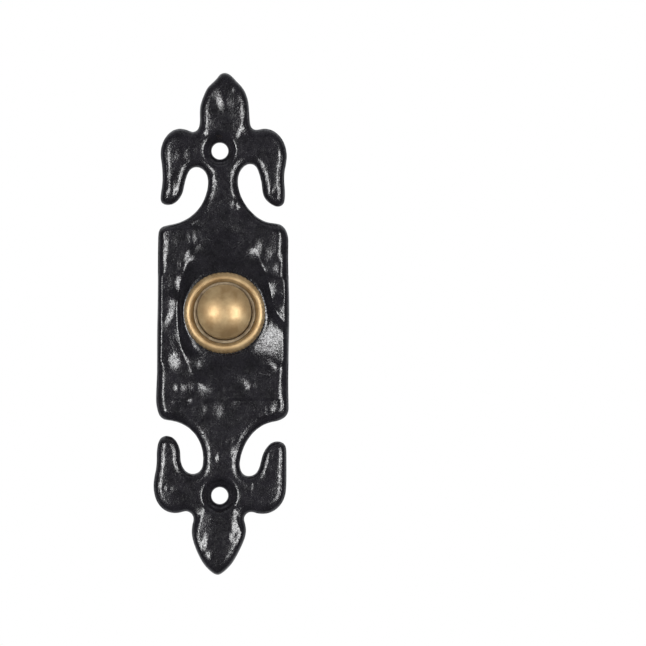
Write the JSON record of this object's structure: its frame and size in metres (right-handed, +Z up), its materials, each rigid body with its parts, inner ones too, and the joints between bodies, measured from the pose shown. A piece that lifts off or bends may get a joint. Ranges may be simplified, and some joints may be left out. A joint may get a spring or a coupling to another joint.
{
  "type": "doorbell push button",
  "caption": "Brass door bell push with a knurled ring nut, in a black cast plate with a fleur-de-lis at each end; ceramic base and screw terminals behind.",
  "frame": {"origin": "on the push's axis, in the plane of the wall that the plate's back lies on", "axes": "+Y into the wall, away from the person who presses the push; +Z up; +X to the right as the plate is faced"},
  "size_m": [0.0378, 0.0401, 0.14],
  "materials": {
    "plate_finish": "black waxed casting with fine sand grain",
    "gasket_fibre": "dark fibre",
    "aged_brass": "turned brass, dulled with age",
    "brass": "satin polished brass",
    "bright_brass": "bright brass",
    "insulation": "dark insulating board",
    "spring_steel": "drawn wire",
    "ceramic": "off-white, part glazed, rough at its rear edge"
  },
  "bodies": {
    "bell_plate": {"backplate": "plate_finish", "gasket": "gasket_fibre", "barrel": "aged_brass", "return_spring": "spring_steel", "ceramic_base": "ceramic", "terminal_block_upper": "aged_brass", "terminal_block_lower": "aged_brass", "terminal_nut_upper": "aged_brass", "terminal_nut_lower": "aged_brass"},
    "push": {"push_cap": "brass", "push_flange": "brass", "insulating_washer": "insulation", "contact_disc": "bright_brass", "disc_nut": "bright_brass"},
    "ring_nut": {"knurled_ring": "brass"},
    "upper_screw": {"terminal_screw_upper": "aged_brass"},
    "lower_screw": {"terminal_screw_lower": "aged_brass"}
  },
  "joints": [
    {"name": "button_press", "type": "slide", "parent": "bell_plate", "child": "push", "axis": [0, 1, 0], "range_m": [0, 0.0022], "stiffness_N_per_m": 800, "springref_m": -0.0015, "deforming": ["return_spring"]},
    {"name": "ring_nut_turn", "type": "hinge", "parent": "bell_plate", "child": "ring_nut", "pos_m": [0, -0.008, 0], "axis": [0, -1, 0], "range_deg": [0, 1314]},
    {"name": "upper_screw_turn", "type": "hinge", "parent": "bell_plate", "child": "upper_screw", "pos_m": [-0.00145, 0.018, 0.00421], "axis": [0, -1, 0], "range_deg": [-1764, 1296]},
    {"name": "lower_screw_turn", "type": "hinge", "parent": "bell_plate", "child": "lower_screw", "pos_m": [0.00145, 0.018, -0.00421], "axis": [0, -1, 0], "range_deg": [-1764, 1296]}
  ]
}
